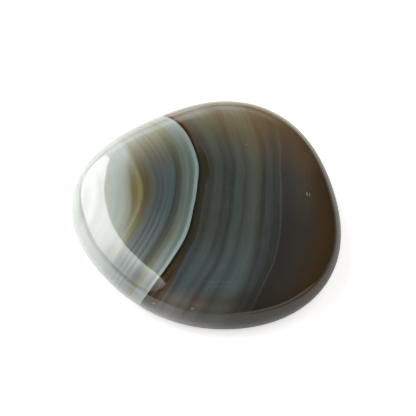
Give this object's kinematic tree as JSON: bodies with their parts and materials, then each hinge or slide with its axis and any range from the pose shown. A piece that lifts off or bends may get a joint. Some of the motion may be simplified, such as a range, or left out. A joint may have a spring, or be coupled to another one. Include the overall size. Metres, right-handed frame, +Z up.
{
  "type": "agate stone",
  "caption": "Flat, fully rounded agate pebble with grey, white and brown banding under a high polish, lying on a flat foot.",
  "frame": {"origin": "centre of the bounding box's bottom, on the flat foot that the stone rests on", "axes": "+Z up out of the polished upper face, +X along the stone's longest side towards its brown end, +Y away from the thick side"},
  "size_m": [0.055, 0.0532, 0.0128],
  "materials": {
    "polished_agate": "high polish, opaque to faintly translucent banded stone"
  },
  "bodies": {
    "root": {"agate_stone": "polished_agate"}
  },
  "joints": []
}
